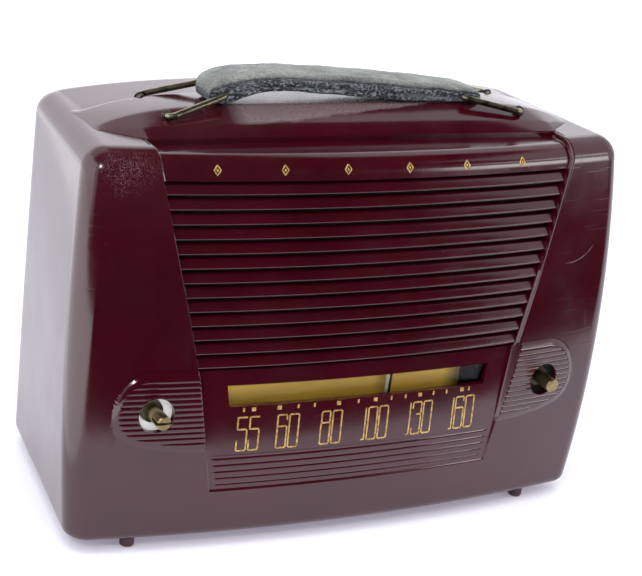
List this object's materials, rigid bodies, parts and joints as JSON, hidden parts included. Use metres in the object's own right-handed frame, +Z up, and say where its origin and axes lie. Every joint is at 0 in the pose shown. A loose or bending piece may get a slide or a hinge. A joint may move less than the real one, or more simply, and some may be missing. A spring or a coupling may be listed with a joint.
{
  "type": "portable table radio",
  "caption": "Portable bakelite table radio with a louvred front, slide-rule dial, bare control shafts, leather strap handle on wire bails and a hinged rear door.",
  "frame": {"origin": "on the table, under the middle of the set's overall width and depth", "axes": "+Z up, the dial and louvres face -Y, +X to the right as seen from the front"},
  "size_m": [0.2674, 0.1332, 0.1987],
  "materials": {
    "bakelite": "dark maroon moulded phenolic, polished, worn",
    "rubber": "matt black",
    "steel": "cadmium plated, dulled",
    "brass": "tarnished",
    "clear": "clear acetate, slightly yellow",
    "gold_card": "printed gold card",
    "enamel": "red enamel",
    "fibre": "brown pressed fibre",
    "cloth": "dark woven grille cloth",
    "paper": "felted speaker paper",
    "iron": "black lacquer",
    "aluminium": "drawn can",
    "tube_glass": "clear glass",
    "phenolic_black": "moulded black phenolic",
    "battery_card": "printed dark blue card case",
    "leather": "pebbled black leather worn grey-green, stitched edges",
    "bail_wire": "brassed steel wire, tarnished"
  },
  "bodies": {
    "case": {"cabinet": "bakelite", "feet": "rubber", "hinge_pins": "steel", "dial_lens": "clear", "dial_backplate": "gold_card", "pointer_rail": "steel", "idler_axles": "steel", "chassis": "steel", "chassis_screws": "steel", "control_bracket_left": "steel", "control_bracket_right": "steel", "volume_bushing": "brass", "tuning_bushing": "brass", "bushing_nuts": "steel", "volume_control": "phenolic_black", "gang_frame": "steel", "gang_stator": "aluminium", "baffle_board": "fibre", "grille_cloth": "cloth", "speaker_frame": "steel", "speaker_cone": "paper", "speaker_magnet": "iron", "speaker_nuts": "steel", "output_tube": "tube_glass", "detector_tube": "tube_glass", "amplifier_tube": "tube_glass", "converter_tube": "tube_glass", "tube_sockets": "phenolic_black", "first_if_can": "aluminium", "second_if_can": "aluminium", "filter_capacitor": "aluminium", "output_transformer": "iron", "selenium_rectifier": "aluminium", "battery_shelf": "steel", "low_tension_battery": "battery_card", "high_tension_battery": "battery_card"},
    "rear_door": {"rear_door": "bakelite", "cord_grommet": "rubber", "door_snap": "steel", "loop_antenna": "fibre"},
    "volume_shaft": {"volume_shaft": "brass"},
    "tuning_shaft": {"tuning_shaft": "brass"},
    "tuning_gang": {"gang_rotor": "aluminium", "dial_drum": "brass"},
    "dial_pointer": {"dial_pointer": "enamel"},
    "idler_left": {"idler_pulley_left": "brass"},
    "idler_right": {"idler_pulley_right": "brass"},
    "bail_left": {"bail_left": "bail_wire"},
    "bail_right": {"bail_right": "bail_wire"},
    "handle_strap": {"handle_strap": "leather"}
  },
  "joints": [
    {"name": "door_swing", "type": "hinge", "parent": "case", "child": "rear_door", "pos_m": [0, 0.06342, 0.01944], "axis": [-1, 0, 0], "range_deg": [0, 88]},
    {"name": "volume_turn", "type": "hinge", "parent": "case", "child": "volume_shaft", "pos_m": [-0.0975, -0.05, 0.0643], "axis": [0, 1, 0], "range_deg": [0, 300]},
    {"name": "tuning_turn", "type": "hinge", "parent": "case", "child": "tuning_shaft", "pos_m": [0.0975, -0.05, 0.0643], "axis": [0, 1, 0], "range_deg": [-670.45, 383.97]},
    {"name": "gang_turn", "type": "hinge", "parent": "case", "child": "tuning_gang", "pos_m": [0.057, -0.04, 0.048], "axis": [0, 1, 0], "range_deg": [-112.5, 64.29]},
    {"name": "pointer_slide", "type": "slide", "parent": "case", "child": "dial_pointer", "axis": [1, 0, 0], "range_m": [-0.0703, 0.0403]},
    {"name": "idler_left_turn", "type": "hinge", "parent": "case", "child": "idler_left", "pos_m": [-0.08, -0.05, 0.076], "axis": [0, 1, 0], "range_deg": [-893.27, 511.3]},
    {"name": "idler_right_turn", "type": "hinge", "parent": "case", "child": "idler_right", "pos_m": [0.08, -0.05, 0.076], "axis": [0, 1, 0], "range_deg": [-893.27, 511.3]},
    {"name": "strap_lift", "type": "slide", "parent": "case", "child": "handle_strap", "axis": [0, 0, 1], "range_m": [0, 0.006]},
    {"name": "bail_left_swing", "type": "hinge", "parent": "case", "child": "bail_left", "pos_m": [-0.088, -0.0037, 0.1805], "axis": [0, -1, 0], "range_deg": [-0.2, 13.06]},
    {"name": "bail_right_swing", "type": "hinge", "parent": "case", "child": "bail_right", "pos_m": [0.088, -0.0037, 0.1805], "axis": [0, 1, 0], "range_deg": [-0.2, 12.73]}
  ],
  "couplings": [
    {"joint": "tuning_turn", "follows": "gang_turn", "ratio": 5.9417},
    {"joint": "pointer_slide", "follows": "gang_turn", "m_per_rad": 0.03565},
    {"joint": "idler_left_turn", "follows": "gang_turn", "ratio": 7.9222},
    {"joint": "idler_right_turn", "follows": "gang_turn", "ratio": 7.9222},
    {"joint": "bail_left_swing", "follows": "strap_lift", "rad_per_m": 37.107},
    {"joint": "bail_right_swing", "follows": "strap_lift", "rad_per_m": 36.171}
  ]
}
